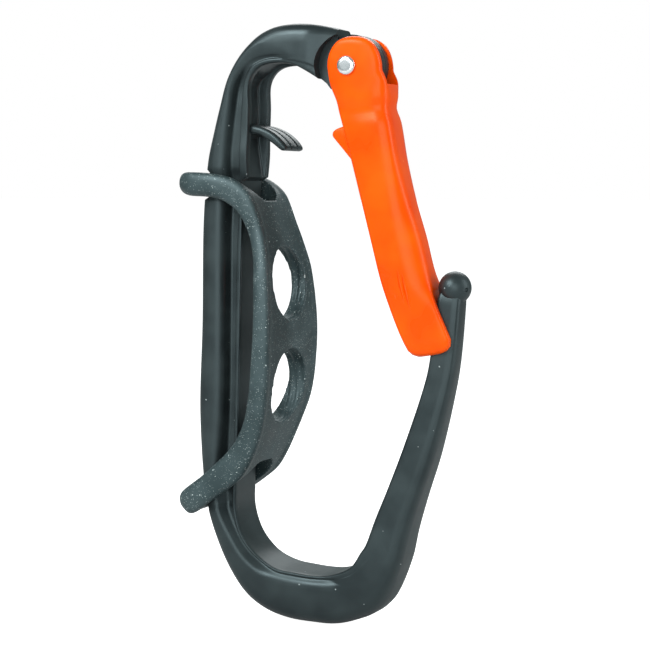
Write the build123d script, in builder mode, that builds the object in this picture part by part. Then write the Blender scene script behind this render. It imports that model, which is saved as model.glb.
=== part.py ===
from build123d import *

import os

# Gear-holder clip for a harness belt, in millimetres.
# X points from the spine to the gate, Y is the depth, Z is up.
# The origin is on the spine's inner face, at the middle of the belt gap.

# Body: a moulded hook with a spine, a top bar ending in a hinge lug, a bottom bar and a nose arm.
BODY_DEPTH = 13.6
LUG_DEPTH = 6.0
BODY_EDGE = 2.2
OUTER_EDGE = [
    (23.0, 65.9), (14.0, 67.3), (4.5, 64.6), (-2.6, 55.5), (-7.8, 37.5), (-9.3, 20.0), (-9.6, 0.0),
    (-10.3, -18.0), (-9.1, -37.0), (-5.6, -51.0), (1.5, -62.1), (11.8, -66.5), (24.0, -67.0),
    (33.0, -63.9), (37.4, -57.0),
]
INNER_EDGE = [
    (32.4, -45.0), (29.2, -52.0), (22.0, -55.8), (8.0, -55.2), (2.0, -51.2), (-0.7, -43.5),
    (1.2, -5.0), (2.6, 36.0), (2.9, 53.8), (7.0, 58.0), (14.2, 58.0), (21.9, 52.9),
]
SEAT_LEAN = 1.5
SEAT_SPAN = (-38.0, 33.2)
SEAT_CUT_DEPTH = 4.0
KEEPER_NOTCHES = [((-7.1, 30.4), 8.8, -5.0), ((-7.4, -38.8), 8.4, 14.0)]
NOTCH_LENGTH = 6.0

# The front and back faces carry a long channel between the outer bead and the inner flange.
CHANNEL_DEPTH = 2.2
CHANNEL_OUTER = [
    (18.4, 58.0), (10.6, 60.3), (4.4, 59.6), (-0.4, 54.2), (-3.3, 39.5), (-4.3, 20.0), (-4.4, 0.0),
    (-4.6, -18.0), (-3.9, -36.0), (-2.6, -45.0), (0.2, -51.2), (5.2, -55.9), (11.0, -57.9), (20.0, -58.9),
]
CHANNEL_INNER = [
    (20.2, -58.1), (12.0, -57.1), (7.0, -55.9), (2.2, -52.9), (-0.4, -48.0), (-1.9, -36.0), (-1.5, -18.0),
    (-1.3, 0.0), (-0.7, 20.0), (0.3, 36.0), (1.0, 50.0), (2.5, 55.8), (7.6, 58.9), (18.2, 57.6),
]
INNER_CHANNEL_FLOOR = 1.4
INNER_CHANNEL_WIDTH = 8.0
INNER_CHANNEL_SPAN = (24.0, 55.4)
INNER_CHANNEL_CUT = 4.0

# Tongue: a flexible tab that springs from the spine, with long grooves on its top.
TONGUE_WIDTH = 9.0
TONGUE_TOP = [(0.4, 45.4), (3.2, 45.0), (7.8, 43.6), (11.8, 40.4)]
TONGUE_UNDER = [(11.0, 39.5), (8.7, 41.0), (4.7, 43.0), (0.4, 42.4)]
TONGUE_GROOVES = (-1.6, 1.6)
TONGUE_GROOVE_WIDTH = 0.9
TONGUE_GROOVE_FLOOR = [(1.8, 44.7), (3.3, 44.5), (7.6, 43.1), (12.2, 39.4)]
TONGUE_GROOVE_REACH = 2.0

# Nose arm: rounded sections, each a centre, a width across the arm, a depth and a lean from vertical.
ARM_SECTIONS = [
    ((33.6, -55.6), 9.4, 12.6, 38.0), ((37.3, -43.5), 7.4, 11.2, 22.0), ((43.3, -26.2), 6.7, 9.0, 19.0),
    ((47.3, -12.0), 5.6, 7.0, 11.0), ((48.4, -5.0), 5.3, 6.4, 8.0), ((49.6, 6.5), 4.4, 5.4, 6.0),
]
ARM_EDGE = 1.9
KNOB_CENTRE = (50.1, 9.0)
KNOB_RADIUS = 3.65

# Hinge
PIVOT = (26.4, 57.6)
RIVET_RADIUS = 1.5
RIVET_RUNNING_CLEARANCE = 0.05
RIVET_HEAD_RADIUS = 2.15
RIVET_HEAD_HEIGHT = 0.9
RIVET_HEAD_EDGE = 0.55
HEAD_CLEARANCE = 0.05
LUG_RADIUS = 6.9
CHEEK_RADIUS = 7.5
LUG_SIDE_CLEARANCE = 0.15

# Gate: a bar with two ears over the lug and a fork over the nose arm.
GATE_DEPTH = 10.4
GATE_EDGE = 1.7
GATE_INNER_EDGE = [(21.6, 58.5), (22.2, 54.0), (24.8, 45.0), (29.6, 26.6), (33.9, 10.4), (39.6, -2.8), (41.2, -5.2)]
GATE_OUTER_EDGE = [
    (51.0, -2.6), (48.6, 2.6), (45.2, 11.2), (42.6, 20.0), (40.2, 28.0), (37.4, 40.3), (35.8, 49.0), (34.9, 54.5)
]
GATE_TOP_ARC = [(32.9, 61.2), (28.2, 64.0), (23.2, 62.2)]
GATE_FOOT_ARC = [(42.6, -5.7), (48.0, -5.4)]
GATE_SLOT_RADIUS = 7.2
GATE_SLOT_MOUTH = [(26.4, 53.3), (45.0, 53.3), (45.0, 75.0), (10.0, 75.0), (10.0, 49.4), (23.4, 49.4)]
FORK_SLOT_DEPTH = 7.0
FORK_SLOT = [(44.9, -8.0), (45.1, -3.0), (46.1, 4.0), (46.0, 9.5), (56.0, 9.5), (56.0, -8.0)]
TOOTH = [(25.0, 45.4), (22.0, 43.4), (21.8, 42.2), (27.8, 35.6), (30.0, 38.0), (28.0, 45.4)]
TOOTH_WIDTH = 5.6

# Gate spring and plunger: they lie in a bore along the gate and bear on a flat of the lug.
BORE_LEAN = 12.0
BORE_OFFSET = 1.6
FLAT_DISTANCE = 3.9
FLAT_CUT = (12.0, 24.0)
PLUNGER_RADIUS = 1.7
PLUNGER_TAIL_RADIUS = 0.9
PLUNGER_BODY = 2.6
PLUNGER_TAIL = 2.4
BORE_RADIUS = 1.78
BORE_END = 22.0
SPRING_RADIUS = 1.35
SPRING_WIRE = 0.24
SPRING_TURNS = 9
CONTACT_GAP = 0.05

# Keeper: a rubber strap with two round holes; the spine passes through a slot near each end.
KEEPER_OUTER = [
    (-13.8, 34.3), (-6.0, 34.2), (0.2, 33.0), (5.2, 29.0), (7.6, 23.2), (10.3, 13.5), (11.2, 0.0),
    (10.0, -17.0), (6.8, -26.4), (2.4, -34.0), (-5.4, -40.0), (-11.6, -44.0),
]
KEEPER_INNER = [
    (-14.8, -39.4), (-7.2, -34.2), (-1.2, -29.4), (3.8, -21.6), (5.6, -15.0), (6.9, 0.0),
    (6.1, 14.0), (3.2, 22.8), (-0.6, 27.0), (-6.4, 28.9), (-13.8, 29.2),
]
KEEPER_HALF_WIDTHS = [
    (40.0, 10.6), (24.0, 10.4), (12.0, 12.6), (0.0, 14.0), (-12.0, 13.9), (-26.0, 10.6), (-50.0, 10.4)
]
KEEPER_END_X = -14.8
KEEPER_END_HALF_WIDTH = 10.4
KEEPER_END_RADIUS = 4.2
KEEPER_PLATE_X = 3.0
KEEPER_SLOT_WIDTH = 14.4
KEEPER_SLOTS = [((-7.7, 5.2), (22.0, 40.0)), ((-8.9, 4.0), (-48.0, -24.0))]
KEEPER_HOLE_RADIUS = 8.2
KEEPER_HOLES = [9.4, -14.0]
KEEPER_REACH = 60.0


def hinge_plane(distance=0.0, offset=0.0):
    """A plane on the spring's axis direction, below the pivot, facing down the gate."""
    down = Vector(0, 0, -1).rotate(Axis.Y, -BORE_LEAN)
    across = Vector(1, 0, 0).rotate(Axis.Y, -BORE_LEAN)
    origin = Vector(PIVOT[0], 0, PIVOT[1]) + down * distance - across * offset
    return Plane(origin=origin, x_dir=Vector(0, 1, 0), z_dir=down)


os.makedirs("parts", exist_ok=True)

# ---------------------------------------------------------------- body
with BuildPart() as hook:
    # hook blank with rounded long edges
    with BuildSketch(Plane.XZ):
        with BuildLine():
            outer = Spline(*OUTER_EDGE)
            inner = Spline(*INNER_EDGE)
            Line(outer @ 1, inner @ 0)
            Line(inner @ 1, outer @ 0)
        make_face()
    extrude(amount=BODY_DEPTH / 2, both=True)
    fillet(hook.edges().filter_by(GeomType.BSPLINE), radius=BODY_EDGE)

    # channel in the front and back faces
    for side in (-1, 1):
        with BuildSketch(Plane.XZ.offset(side * BODY_DEPTH / 2)):
            with BuildLine():
                channel_outer = Spline(*CHANNEL_OUTER)
                channel_inner = Spline(*CHANNEL_INNER)
                Line(channel_outer @ 1, channel_inner @ 0)
                Line(channel_inner @ 1, channel_outer @ 0)
            make_face()
        extrude(amount=-side * CHANNEL_DEPTH, mode=Mode.SUBTRACT)

    # the belt seat is cut back from the inner face, and the strap's ends sit in two notches outside
    with BuildSketch(Plane.XZ):
        with Locations(Location((0, sum(SEAT_SPAN) / 2), -SEAT_LEAN)):
            Rectangle(SEAT_CUT_DEPTH, SEAT_SPAN[1] - SEAT_SPAN[0], align=(Align.MIN, Align.CENTER))
    extrude(amount=BODY_DEPTH, both=True, mode=Mode.SUBTRACT)
    for face_point, height, lean in KEEPER_NOTCHES:
        with BuildSketch(Plane.XZ):
            with Locations(Location((face_point[0], face_point[1]), lean)):
                Rectangle(NOTCH_LENGTH, height, align=(Align.MAX, Align.CENTER))
        extrude(amount=BODY_DEPTH, both=True, mode=Mode.SUBTRACT)

    # channel in the inner face, from the belt seat to the top bend
    with BuildSketch(Plane.YZ.offset(INNER_CHANNEL_FLOOR)):
        with Locations((0, sum(INNER_CHANNEL_SPAN) / 2)):
            SlotOverall(INNER_CHANNEL_SPAN[1] - INNER_CHANNEL_SPAN[0], INNER_CHANNEL_WIDTH, rotation=90)
    extrude(amount=INNER_CHANNEL_CUT, mode=Mode.SUBTRACT)

    # hinge lug: the top bar narrows to a round-ended plate about the pivot
    for side in (-1, 1):
        with BuildSketch(Plane.XZ.offset(side * LUG_DEPTH / 2)):
            with Locations(PIVOT):
                Circle(CHEEK_RADIUS)
        extrude(amount=side * BODY_DEPTH, mode=Mode.SUBTRACT)
    with BuildSketch(Plane.XZ):
        with Locations(PIVOT):
            Circle(LUG_RADIUS)
    extrude(amount=LUG_DEPTH / 2, both=True)
    with BuildSketch(hinge_plane(FLAT_DISTANCE)):
        Rectangle(*FLAT_CUT)
    extrude(amount=LUG_RADIUS, mode=Mode.SUBTRACT)
    with BuildSketch(Plane.XZ):
        with Locations(PIVOT):
            Circle(RIVET_RADIUS)
    extrude(amount=BODY_DEPTH, both=True, mode=Mode.SUBTRACT)

    # tongue, with long grooves in its top
    with BuildSketch(Plane.XZ):
        with BuildLine():
            tongue_top = Spline(*TONGUE_TOP)
            tongue_under = Spline(*TONGUE_UNDER)
            Line(tongue_top @ 1, tongue_under @ 0)
            Line(tongue_under @ 1, tongue_top @ 0)
        make_face()
    extrude(amount=TONGUE_WIDTH / 2, both=True)
    for across in TONGUE_GROOVES:
        with BuildSketch(Plane.XZ.offset(-across)):
            with BuildLine():
                groove_floor = Spline(*TONGUE_GROOVE_FLOOR)
                groove_lip = Spline(*[(x, z + TONGUE_GROOVE_REACH) for x, z in TONGUE_GROOVE_FLOOR])
                Line(groove_floor @ 0, groove_lip @ 0)
                Line(groove_floor @ 1, groove_lip @ 1)
            make_face()
        extrude(amount=TONGUE_GROOVE_WIDTH / 2, both=True, mode=Mode.SUBTRACT)

# nose arm, lofted through rounded sections, with a round knob on its end
with BuildPart() as arm:
    for centre, across, depth, lean in ARM_SECTIONS:
        section_plane = Plane(
            origin=(centre[0], 0, centre[1]), x_dir=(1, 0, 0), z_dir=(0, 0, 1)
        ).rotated((0, lean, 0))
        with BuildSketch(section_plane):
            RectangleRounded(across, depth, ARM_EDGE)
    loft()
    with Locations((KNOB_CENTRE[0], 0, KNOB_CENTRE[1])):
        Sphere(KNOB_RADIUS)

with BuildPart() as body:
    add(hook.part)
    add(arm.part)

# ---------------------------------------------------------------- gate
with BuildPart() as gate:
    with BuildSketch(Plane.XZ):
        with BuildLine():
            gate_inner = Spline(*GATE_INNER_EDGE)
            gate_foot = Spline(gate_inner @ 1, *GATE_FOOT_ARC, GATE_OUTER_EDGE[0])
            gate_outer = Spline(*GATE_OUTER_EDGE)
            gate_top = Spline(gate_outer @ 1, *GATE_TOP_ARC, gate_inner @ 0)
        make_face()
    extrude(amount=GATE_DEPTH / 2, both=True)
    fillet(gate.edges().filter_by(GeomType.BSPLINE), radius=GATE_EDGE)

    # tooth on the inner side
    with BuildSketch(Plane.XZ):
        with BuildLine():
            Polyline(*TOOTH, close=True)
        make_face()
    extrude(amount=TOOTH_WIDTH / 2, both=True)

    # slot for the lug
    with BuildSketch(Plane.XZ):
        with Locations(PIVOT):
            Circle(GATE_SLOT_RADIUS)
        with BuildLine():
            Polyline(*GATE_SLOT_MOUTH, close=True)
        make_face()
    extrude(amount=LUG_DEPTH / 2 + LUG_SIDE_CLEARANCE, both=True, mode=Mode.SUBTRACT)

    # fork for the nose arm
    with BuildSketch(Plane.XZ):
        with BuildLine():
            Polyline(*FORK_SLOT, close=True)
        make_face()
    extrude(amount=FORK_SLOT_DEPTH / 2, both=True, mode=Mode.SUBTRACT)

    # rivet hole and spring bore
    with BuildSketch(Plane.XZ):
        with Locations(PIVOT):
            Circle(RIVET_RADIUS + RIVET_RUNNING_CLEARANCE)
    extrude(amount=GATE_DEPTH, both=True, mode=Mode.SUBTRACT)
    with BuildSketch(hinge_plane(0, BORE_OFFSET)):
        Circle(BORE_RADIUS)
    extrude(amount=BORE_END, mode=Mode.SUBTRACT)

# ---------------------------------------------------------------- pivot rivet
with BuildPart() as pivot_rivet:
    with BuildSketch(Plane.XZ):
        with Locations(PIVOT):
            Circle(RIVET_RADIUS)
    extrude(amount=GATE_DEPTH / 2 + HEAD_CLEARANCE, both=True)
    for side in (-1, 1):
        with BuildSketch(Plane.XZ.offset(side * (GATE_DEPTH / 2 + HEAD_CLEARANCE))):
            with Locations(PIVOT):
                Circle(RIVET_HEAD_RADIUS)
        extrude(amount=side * RIVET_HEAD_HEIGHT)
    rim_edges = pivot_rivet.edges().group_by(Axis.Y)
    fillet(rim_edges[0] + rim_edges[-1], radius=RIVET_HEAD_EDGE)

# ---------------------------------------------------------------- spring plunger
PLUNGER_START = FLAT_DISTANCE + PLUNGER_RADIUS + CONTACT_GAP
with BuildPart() as spring_plunger:
    with Locations(hinge_plane(PLUNGER_START, BORE_OFFSET)):
        Sphere(PLUNGER_RADIUS)
        Cylinder(PLUNGER_RADIUS, PLUNGER_BODY, align=(Align.CENTER, Align.CENTER, Align.MIN))
        Cylinder(
            PLUNGER_TAIL_RADIUS, PLUNGER_BODY + PLUNGER_TAIL, align=(Align.CENTER, Align.CENTER, Align.MIN)
        )

# ---------------------------------------------------------------- gate spring
SPRING_START = PLUNGER_START + PLUNGER_BODY + SPRING_WIRE + CONTACT_GAP
SPRING_LENGTH = BORE_END - SPRING_START - SPRING_WIRE - CONTACT_GAP
SPRING_SEAT = hinge_plane(SPRING_START, BORE_OFFSET)
with BuildPart() as gate_spring:
    with BuildLine() as coil:
        Helix(
            pitch=SPRING_LENGTH / SPRING_TURNS, height=SPRING_LENGTH, radius=SPRING_RADIUS,
            center=SPRING_SEAT.origin, direction=SPRING_SEAT.z_dir,
        )
    with BuildSketch(Plane(origin=coil.line @ 0, z_dir=coil.line % 0)):
        Circle(SPRING_WIRE)
    sweep(path=coil.line, is_frenet=True)

# ---------------------------------------------------------------- rubber keeper
with BuildPart() as rubber_keeper:
    with BuildSketch(Plane.XZ):
        with BuildLine():
            strap_outer = Spline(*KEEPER_OUTER)
            strap_inner = Spline(*KEEPER_INNER)
            Line(strap_outer @ 1, strap_inner @ 0)
            Line(strap_inner @ 1, strap_outer @ 0)
        make_face()
    extrude(amount=KEEPER_REACH, both=True)

    # width: broad round the holes, narrow at the ends
    with BuildSketch(Plane.YZ):
        with BuildLine():
            near_side = Spline(*[(-half, height) for height, half in KEEPER_HALF_WIDTHS])
            far_side = Spline(*[(half, height) for height, half in KEEPER_HALF_WIDTHS])
            Line(near_side @ 0, far_side @ 0)
            Line(near_side @ 1, far_side @ 1)
        make_face()
    extrude(amount=KEEPER_REACH, both=True, mode=Mode.INTERSECT)

    # plan: narrow ends with rounded corners, then the slots for the spine and the two holes
    with BuildSketch(Plane.XY):
        with Locations((KEEPER_END_X, 0)):
            RectangleRounded(
                KEEPER_REACH, 2 * KEEPER_END_HALF_WIDTH, KEEPER_END_RADIUS, align=(Align.MIN, Align.CENTER)
            )
        with Locations((KEEPER_PLATE_X, 0)):
            Rectangle(KEEPER_REACH, KEEPER_REACH, align=(Align.MIN, Align.CENTER))
    extrude(amount=KEEPER_REACH, both=True, mode=Mode.INTERSECT)
    for (x_low, x_high), (z_low, z_high) in KEEPER_SLOTS:
        with Locations(((x_low + x_high) / 2, 0, (z_low + z_high) / 2)):
            Box(x_high - x_low, KEEPER_SLOT_WIDTH, z_high - z_low, mode=Mode.SUBTRACT)
    with BuildSketch(Plane.YZ):
        with Locations(*[(0, height) for height in KEEPER_HOLES]):
            Circle(KEEPER_HOLE_RADIUS)
    extrude(amount=KEEPER_REACH, both=True, mode=Mode.SUBTRACT)

# ---------------------------------------------------------------- output
body.part.label = "body"
export_step(body.part, "parts/body.step")
gate.part.label = "gate"
export_step(gate.part, "parts/gate.step")
pivot_rivet.part.label = "pivot_rivet"
export_step(pivot_rivet.part, "parts/pivot_rivet.step")
spring_plunger.part.label = "spring_plunger"
export_step(spring_plunger.part, "parts/spring_plunger.step")
gate_spring.part.label = "gate_spring"
export_step(gate_spring.part, "parts/gate_spring.step")
rubber_keeper.part.label = "rubber_keeper"
export_step(rubber_keeper.part, "parts/rubber_keeper.step")
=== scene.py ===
import math

import bmesh
import bpy
from mathutils import Matrix, Vector


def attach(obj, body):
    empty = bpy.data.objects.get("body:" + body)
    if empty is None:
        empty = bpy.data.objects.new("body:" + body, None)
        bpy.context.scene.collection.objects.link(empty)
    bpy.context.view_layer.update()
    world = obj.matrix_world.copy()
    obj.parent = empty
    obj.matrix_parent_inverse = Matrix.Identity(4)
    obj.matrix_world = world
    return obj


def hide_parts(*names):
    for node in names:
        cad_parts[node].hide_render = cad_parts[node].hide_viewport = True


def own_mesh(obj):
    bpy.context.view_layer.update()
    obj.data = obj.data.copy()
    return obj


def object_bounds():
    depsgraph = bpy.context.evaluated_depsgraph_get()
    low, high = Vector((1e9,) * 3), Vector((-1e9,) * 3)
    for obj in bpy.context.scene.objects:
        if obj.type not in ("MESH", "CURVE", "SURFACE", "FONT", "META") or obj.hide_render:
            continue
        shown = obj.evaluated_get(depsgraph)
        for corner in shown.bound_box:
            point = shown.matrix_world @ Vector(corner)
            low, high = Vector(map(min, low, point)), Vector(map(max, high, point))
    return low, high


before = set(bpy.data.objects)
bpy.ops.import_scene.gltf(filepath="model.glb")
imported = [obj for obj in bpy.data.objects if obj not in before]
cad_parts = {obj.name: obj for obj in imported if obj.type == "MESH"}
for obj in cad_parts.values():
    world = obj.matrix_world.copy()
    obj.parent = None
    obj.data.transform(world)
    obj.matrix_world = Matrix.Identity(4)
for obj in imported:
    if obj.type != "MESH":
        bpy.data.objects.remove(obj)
cad_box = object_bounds()

# Shapes are drawn in millimetres: X from the spine to the gate, Y the depth, Z up.
MM = 0.001
X_WAY = Vector((1, 0, 0))
Y_WAY = Vector((0, 1, 0))
Z_WAY = Vector((0, 0, 1))
TINY = 1e-4
ROW_STEP = 0.9
# Rounded corners: the corner point's weight, the steps, and the share of a side that one may take.
ROUND_WEIGHT = 0.72
ROUND_STEPS = 4
END_SHARE = 0.95
MIDDLE_SHARE = 0.49


# ---------------------------------------------------------------- drawing helpers
def smooth_rows(rows, step):
    """Rows between the given ones, about one step apart, on a smooth curve through every column."""
    knots = [0.0]
    for before, after in zip(rows, rows[1:]):
        knots.append(knots[-1] + math.dist(before[:2], after[:2]))
    slopes = []
    for i, row in enumerate(rows):
        low, high = max(i - 1, 0), min(i + 1, len(rows) - 1)
        reach = knots[high] - knots[low]
        slopes.append([(b - a) / reach for a, b in zip(rows[low], rows[high])])
    result = []
    for i in range(len(rows) - 1):
        span = knots[i + 1] - knots[i]
        count = max(2, round(span / step))
        for k in range(count):
            t = k / count
            start, finish = (1 + 2 * t) * (1 - t) ** 2, t * t * (3 - 2 * t)
            leave, arrive = t * (1 - t) ** 2 * span, t * t * (t - 1) * span
            result.append([
                a * start + b * finish + m * leave + n * arrive
                for a, b, m, n in zip(rows[i], rows[i + 1], slopes[i], slopes[i + 1])
            ])
    result.append(list(rows[-1]))
    return result


def soft_corners(points, reaches):
    """The line through points, with every inner point rounded off over its reach."""
    line = [points[0]]
    for i, reach in enumerate(reaches, start=1):
        corner = points[i]
        back = points[i - 1] - corner
        ahead = points[i + 1] - corner
        back_share = END_SHARE if i == 1 else MIDDLE_SHARE
        ahead_share = END_SHARE if i == len(reaches) else MIDDLE_SHARE
        start = corner + back * min(back_share, reach / max(back.length, TINY))
        finish = corner + ahead * min(ahead_share, reach / max(ahead.length, TINY))
        for k in range(ROUND_STEPS + 1):
            t = k / ROUND_STEPS
            a, b, c = (1 - t) ** 2, 2 * t * (1 - t) * ROUND_WEIGHT, t * t
            line.append((start * a + corner * b + finish * c) / (a + b + c))
    line.append(points[-1])
    return line


def full_loop(near_half):
    """A closed section from its near half, which starts and ends on the middle plane."""
    return near_half + [Vector((p.x, -p.y, p.z)) for p in reversed(near_half[1:-1])]


def swept_shell(name, loops):
    """A closed shell through the loops, grown by extruding the edges of the first one."""
    bm = bmesh.new()
    ring = [bm.verts.new(p) for p in loops[0]]
    edges = [bm.edges.new((a, b)) for a, b in zip(ring, ring[1:] + ring[:1])]
    for loop in loops[1:]:
        grown = bmesh.ops.extrude_edge_only(bm, edges=edges)["geom"]
        fresh = {item for item in grown if isinstance(item, bmesh.types.BMVert)}
        ring = [next(e.other_vert(v) for e in v.link_edges if e.other_vert(v) in fresh) for v in ring]
        for vert, point in zip(ring, loop):
            vert.co = point
        edges = [e for e in grown if isinstance(e, bmesh.types.BMEdge) and set(e.verts) <= fresh]
    bmesh.ops.holes_fill(bm, edges=[e for e in bm.edges if e.is_boundary], sides=0)
    return shape_from(name, bm)


def turned_shell(name, profile, centre, axis, side, steps=64):
    """A closed shell spun from a profile of (along the axis, radius) points."""
    bm = bmesh.new()
    points = [centre + axis * along + side * radius for along, radius in profile]
    verts = [bm.verts.new(p) for p in points]
    edges = [bm.edges.new((a, b)) for a, b in zip(verts, verts[1:])]
    bmesh.ops.spin(
        bm, geom=verts + edges, cent=centre, axis=axis, angle=math.tau, steps=steps, use_merge=True
    )
    bmesh.ops.remove_doubles(bm, verts=bm.verts, dist=TINY)
    return shape_from(name, bm)


def rod(name, start, axis, radius, length, side):
    """A plain round rod from its start along an axis."""
    profile = [(0.0, 0.0), (0.0, radius), (length, radius), (length, 0.0)]
    return turned_shell(name, profile, start, axis, side)


def plate(name, outline, half_depth, edge=0.0):
    """A flat plate of an outline of (x, z) points, both sides of the middle plane, with rounded edges."""
    bm = bmesh.new()
    face = bm.faces.new([bm.verts.new((x, -half_depth, z)) for x, z in outline])
    grown = bmesh.ops.extrude_face_region(bm, geom=[face])["geom"]
    moved = [item for item in grown if isinstance(item, bmesh.types.BMVert)]
    bmesh.ops.translate(bm, verts=moved, vec=(0, 2 * half_depth, 0))
    if edge:
        bmesh.ops.bevel(
            bm, geom=bm.edges[:], offset=edge, segments=3, affect="EDGES", profile=0.5, material=-1
        )
    return shape_from(name, bm)


def shape_from(name, bm):
    """An object in the scene from a bmesh, with its faces turned outwards."""
    bmesh.ops.recalc_face_normals(bm, faces=bm.faces)
    mesh = bpy.data.meshes.new(name)
    bm.to_mesh(mesh)
    bm.free()
    shape = bpy.data.objects.new(name, mesh)
    bpy.context.collection.objects.link(shape)
    return shape


def baked(shape):
    """Works a shape's modifiers into its mesh."""
    bpy.context.view_layer.update()
    graph = bpy.context.evaluated_depsgraph_get()
    old = shape.data
    shape.data = bpy.data.meshes.new_from_object(shape.evaluated_get(graph))
    shape.modifiers.clear()
    bpy.data.meshes.remove(old)


def combined(shape, tool, operation):
    """Joins a shape with a tool, or cuts it by the tool, which is used up."""
    work = shape.modifiers.new("combine", "BOOLEAN")
    work.object = tool
    work.operation = operation
    work.solver = "EXACT"
    baked(shape)
    bpy.data.objects.remove(tool)


def finish_piece(shape, body, node, material, crease=38):
    """Brings a piece to metres, shades it and puts it in the place of its node."""
    shape.data.transform(Matrix.Scale(MM, 4))
    shape.data.materials.clear()
    shape.data.materials.append(material)
    shape.data.shade_smooth()
    if crease:
        shape.data.set_sharp_from_angle(angle=math.radians(crease))
    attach(shape, body)
    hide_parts(node)


def point(x, z, y=0.0):
    return Vector((x, y, z))


# ---------------------------------------------------------------- shader groups
def new_group(name, inputs, outputs):
    """An empty shader group with named float inputs and outputs, and its two end nodes."""
    group = bpy.data.node_groups.new(name, "ShaderNodeTree")
    for label, value in inputs.items():
        socket = group.interface.new_socket(name=label, in_out="INPUT", socket_type="NodeSocketFloat")
        socket.default_value = value
    for label in outputs:
        group.interface.new_socket(name=label, in_out="OUTPUT", socket_type="NodeSocketFloat")
    return group, group.nodes.new("NodeGroupInput"), group.nodes.new("NodeGroupOutput")


def moulded_grain_group():
    """Fine pits of a spark-eroded mould and slow waves of shrinkage, as a height and a tone."""
    group, given, result = new_group(
        "moulded_grain", {"Grain Scale": 2500.0, "Wave Scale": 90.0}, ["Height", "Tone"]
    )
    place = group.nodes.new("ShaderNodeTexCoord")
    grain = group.nodes.new("ShaderNodeTexNoise")
    grain.inputs["Detail"].default_value = 3.0
    wave = group.nodes.new("ShaderNodeTexNoise")
    wave.inputs["Detail"].default_value = 2.0
    both = group.nodes.new("ShaderNodeMath")
    both.operation = "MULTIPLY_ADD"
    both.inputs[1].default_value = 0.35
    links = group.links
    links.new(place.outputs["Object"], grain.inputs["Vector"])
    links.new(place.outputs["Object"], wave.inputs["Vector"])
    links.new(given.outputs["Grain Scale"], grain.inputs["Scale"])
    links.new(given.outputs["Wave Scale"], wave.inputs["Scale"])
    links.new(grain.outputs["Fac"], both.inputs[0])
    links.new(wave.outputs["Fac"], both.inputs[2])
    links.new(both.outputs[0], result.inputs["Height"])
    links.new(wave.outputs["Fac"], result.inputs["Tone"])
    return group


def dust_group():
    """Scattered round specks of dust, as a mask."""
    group, given, result = new_group("dust_specks", {"Scale": 900.0, "Share": 0.3, "Size": 0.16}, ["Mask"])
    place = group.nodes.new("ShaderNodeTexCoord")
    cells = group.nodes.new("ShaderNodeTexVoronoi")
    cells.feature = "F1"
    chosen = group.nodes.new("ShaderNodeSeparateColor")
    kept = group.nodes.new("ShaderNodeMath")
    kept.operation = "LESS_THAN"
    grade = group.nodes.new("ShaderNodeMath")
    grade.operation = "MULTIPLY"
    small = group.nodes.new("ShaderNodeMath")
    small.operation = "LESS_THAN"
    both = group.nodes.new("ShaderNodeMath")
    both.operation = "MULTIPLY"
    links = group.links
    links.new(place.outputs["Object"], cells.inputs["Vector"])
    links.new(given.outputs["Scale"], cells.inputs["Scale"])
    links.new(cells.outputs["Color"], chosen.inputs["Color"])
    links.new(chosen.outputs["Red"], kept.inputs[0])
    links.new(given.outputs["Share"], kept.inputs[1])
    links.new(chosen.outputs["Green"], grade.inputs[0])
    links.new(given.outputs["Size"], grade.inputs[1])
    links.new(cells.outputs["Distance"], small.inputs[0])
    links.new(grade.outputs[0], small.inputs[1])
    links.new(kept.outputs[0], both.inputs[0])
    links.new(small.outputs[0], both.inputs[1])
    links.new(both.outputs[0], result.inputs["Mask"])
    return group


GRAIN = moulded_grain_group()
DUST = dust_group()


def placed_group(tree, group, **values):
    node = tree.nodes.new("ShaderNodeGroup")
    node.node_tree = group
    for label, value in values.items():
        node.inputs[label.replace("_", " ")].default_value = value
    return node


def ramp(tree, source, stops):
    """A colour ramp of (place, colour) stops fed by a value."""
    node = tree.nodes.new("ShaderNodeValToRGB")
    for i, (place, colour) in enumerate(stops):
        stop = node.color_ramp.elements[i]
        stop.position = place
        stop.color = (*colour, 1.0)
    tree.links.new(source, node.inputs["Fac"])
    return node.outputs["Color"]


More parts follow.
